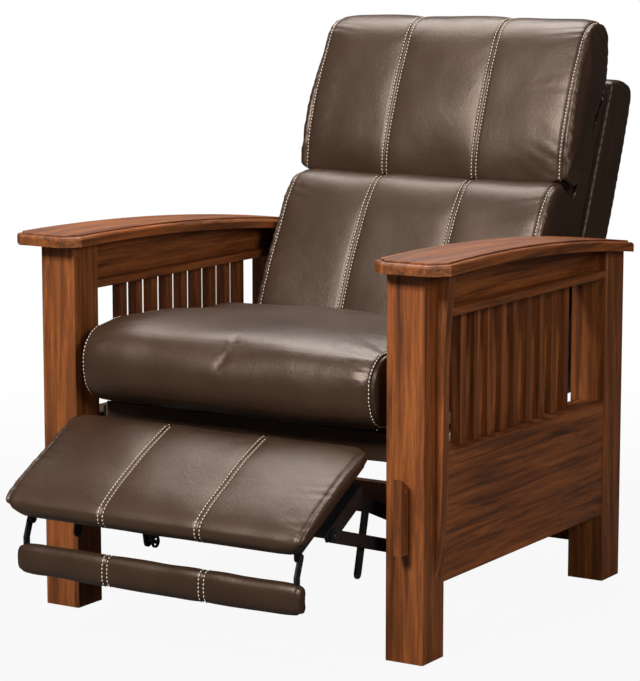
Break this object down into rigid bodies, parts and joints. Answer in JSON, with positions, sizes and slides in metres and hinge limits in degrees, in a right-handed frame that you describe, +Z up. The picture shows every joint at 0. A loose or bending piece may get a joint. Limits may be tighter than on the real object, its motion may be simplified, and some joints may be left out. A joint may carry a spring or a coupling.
{
  "type": "mission reclining armchair",
  "caption": "Oak-framed reclining armchair with slatted sides, bowed arms, leather cushions, a hinged footrest and a tilting back.",
  "frame": {"origin": "on the floor, under the centre of the part's bounding box in the pictured pose", "axes": "+Z up; the chair faces -Y; +X is the sitter's left, where the release lever is"},
  "size_m": [0.858, 1.1911, 1.0099],
  "materials": {
    "oak": "satin",
    "pale_wood": "matte",
    "plywood": "matte",
    "leather": "satin",
    "black_steel": "satin",
    "zinc_steel": "satin",
    "black_plastic": "matte",
    "white_plastic": "matte"
  },
  "bodies": {
    "frame": {"front_post_left": "oak", "front_post_right": "oak", "rear_post_left": "oak", "rear_post_right": "oak", "floor_glides": "black_plastic", "side_panel_left": "oak", "side_panel_right": "oak", "lower_rail_left": "oak", "lower_rail_right": "oak", "upper_rail_left": "oak", "upper_rail_right": "oak", "base_cleats": "pale_wood", "slats_left": "oak", "slats_right": "oak", "arm_apron_left": "oak", "arm_apron_right": "oak", "arm_board_left": "oak", "arm_board_right": "oak", "corbel_left": "oak", "corbel_right": "oak", "rear_stretcher": "oak", "lever_ear": "zinc_steel", "base_rail_left": "black_steel", "base_rail_right": "black_steel", "base_cross_tube": "black_steel", "rail_bolts": "zinc_steel"},
    "seat": {"seat_plate_left": "black_steel", "seat_plate_right": "black_steel", "slide_studs": "zinc_steel", "slide_bushes": "white_plastic", "seat_front_rail": "pale_wood", "seat_rear_rail": "pale_wood", "seat_side_rails": "pale_wood", "seat_springs": "zinc_steel", "front_band": "leather", "seat_cushion": "leather"},
    "drive_links": {"drive_link_left": "black_steel", "drive_link_right": "black_steel", "torque_tube": "black_steel"},
    "rear_links": {"rear_link_left": "black_steel", "rear_link_right": "black_steel"},
    "scissor_links": {"scissor_link_left": "black_steel", "scissor_link_right": "black_steel"},
    "stay_links": {"stay_link_left": "black_steel", "stay_link_right": "black_steel"},
    "footrest": {"footrest_board": "plywood", "footrest_pad": "leather", "footrest_bracket_left": "black_steel", "footrest_bracket_right": "black_steel"},
    "flipper": {"flipper_board": "plywood", "flipper_pad": "leather", "flipper_straps": "black_steel"},
    "back": {"back_panel": "plywood", "back_shell": "leather", "lower_back_cushion": "leather", "headrest": "leather", "back_bracket_left": "black_steel", "back_bracket_right": "black_steel"},
    "lever": {"release_lever": "oak", "lever_pin": "zinc_steel"}
  },
  "joints": [
    {"name": "seat_slide", "type": "slide", "parent": "frame", "child": "seat", "axis": [0, -1, 0], "range_m": [-0.024, 0.04]},
    {"name": "back_recline", "type": "hinge", "parent": "seat", "child": "back", "pos_m": [0, 0.192, 0.395], "axis": [-1, 0, 0], "range_deg": [-12, 20]},
    {"name": "footrest_drive", "type": "hinge", "parent": "seat", "child": "drive_links", "pos_m": [0, -0.24, 0.337], "axis": [-1, 0, 0], "range_deg": [-76.2, 35.3]},
    {"name": "rear_links_swing", "type": "hinge", "parent": "seat", "child": "rear_links", "pos_m": [0, -0.218, 0.301], "axis": [-1, 0, 0], "range_deg": [-64.93, 30.24]},
    {"name": "scissor_cross", "type": "hinge", "parent": "drive_links", "child": "scissor_links", "pos_m": [0, -0.223, 0.197], "axis": [-1, 0, 0], "range_deg": [-22.43, 48.08]},
    {"name": "footrest_swing", "type": "hinge", "parent": "scissor_links", "child": "footrest", "pos_m": [0, -0.416, 0.275], "axis": [-1, 0, 0], "range_deg": [-33.37, 15.62]},
    {"name": "stay_links_swing", "type": "hinge", "parent": "drive_links", "child": "stay_links", "pos_m": [0, -0.272, 0.167], "axis": [-1, 0, 0], "range_deg": [-21.51, 46.09]},
    {"name": "flipper_swing", "type": "hinge", "parent": "footrest", "child": "flipper", "pos_m": [0, -0.553, 0.206], "axis": [-1, 0, 0], "range_deg": [-118.78, 55.19]},
    {"name": "lever_tilt", "type": "hinge", "parent": "frame", "child": "lever", "pos_m": [0.346, -0.38, 0.289], "axis": [-1, 0, 0], "range_deg": [0, 35], "stiffness_Nm_per_rad": 0.12, "springref_deg": -20.05}
  ],
  "couplings": [
    {"joint": "seat_slide", "follows": "back_recline", "m_per_rad": 0.11},
    {"joint": "rear_links_swing", "follows": "footrest_drive", "ratio": 0.84812},
    {"joint": "scissor_cross", "follows": "footrest_drive", "ratio": -0.62699},
    {"joint": "footrest_swing", "follows": "footrest_drive", "ratio": 0.43398},
    {"joint": "stay_links_swing", "follows": "footrest_drive", "ratio": -0.60087},
    {"joint": "flipper_swing", "follows": "footrest_drive", "ratio": 1.5549}
  ]
}
